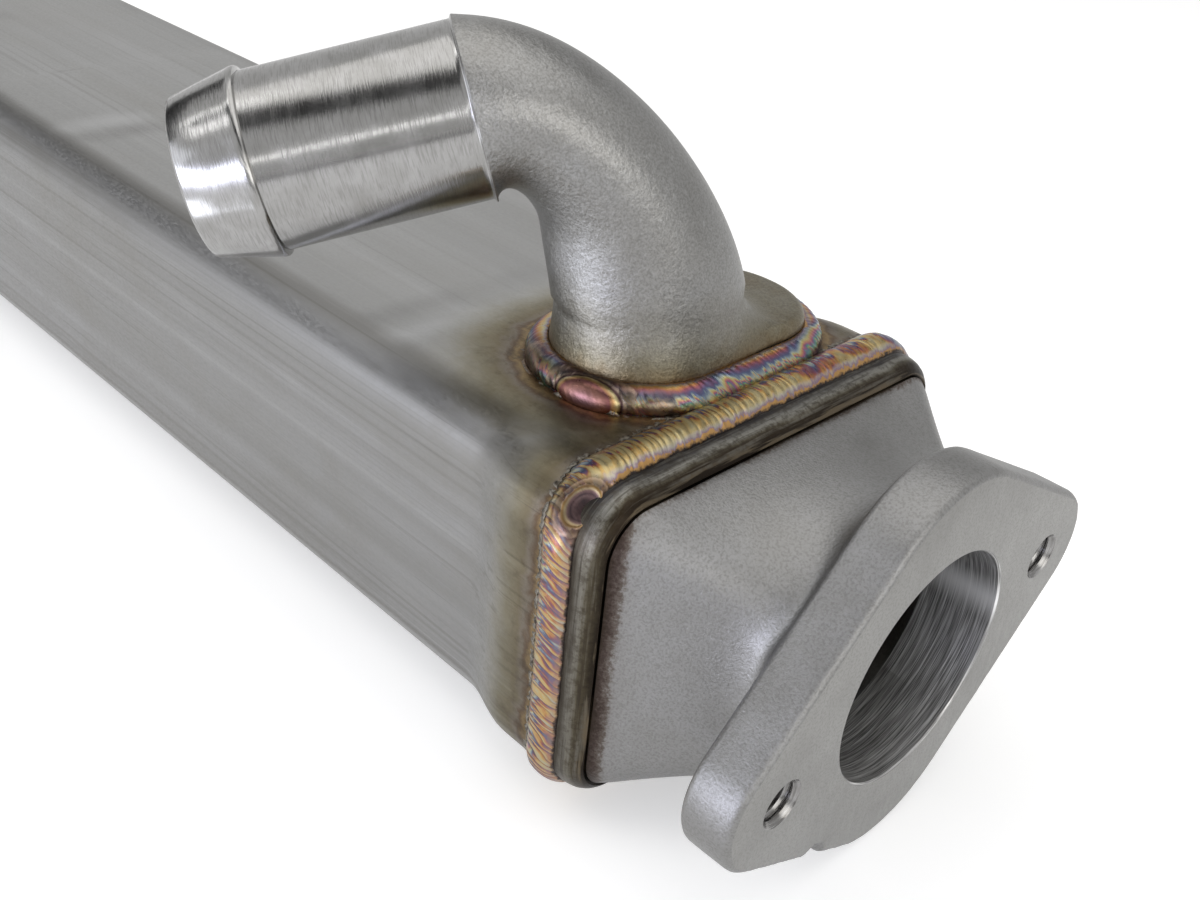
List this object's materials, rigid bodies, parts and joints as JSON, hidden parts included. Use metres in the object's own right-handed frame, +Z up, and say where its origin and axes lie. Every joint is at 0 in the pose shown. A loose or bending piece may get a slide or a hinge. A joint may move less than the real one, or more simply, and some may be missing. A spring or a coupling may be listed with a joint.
{
  "type": "egr cooler",
  "caption": "Welded stainless exhaust gas cooler: flared box shell, bolted gas flanges, finned flat tubes inside and a bent coolant nipple on top.",
  "frame": {"origin": "centre of the front gas bore, on the front flange's face", "axes": "+X out of the front flange, +Z up through the coolant connections, +Y to the side away from the inlet nipple"},
  "size_m": [0.4508, 0.1088, 0.1144],
  "materials": {
    "sheet": "drawn stainless sheet with streaks along its length and heat tint by the welds",
    "cap_casting": "fine blasted stainless casting with milled flange face and bore",
    "elbow_casting": "stainless casting with a fine peel grain and a turned nipple",
    "weld": "rippled weld bead tinted straw, copper and purple",
    "core": "thin brazed stainless sheet"
  },
  "bodies": {
    "root": {"shell": "sheet", "front_gas_cap": "cap_casting", "rear_gas_cap": "cap_casting", "coolant_inlet_elbow": "elbow_casting", "coolant_outlet_spigot": "elbow_casting", "front_cap_weld": "weld", "rear_cap_weld": "weld", "inlet_foot_weld": "weld", "outlet_foot_weld": "weld", "front_header": "core", "rear_header": "core", "gas_tube_1": "core", "gas_tube_2": "core", "gas_tube_3": "core", "gas_tube_4": "core", "gas_fin_1": "core", "gas_fin_2": "core", "gas_fin_3": "core", "gas_fin_4": "core", "tube_comb_1": "core", "tube_comb_2": "core", "tube_comb_3": "core"}
  },
  "joints": []
}
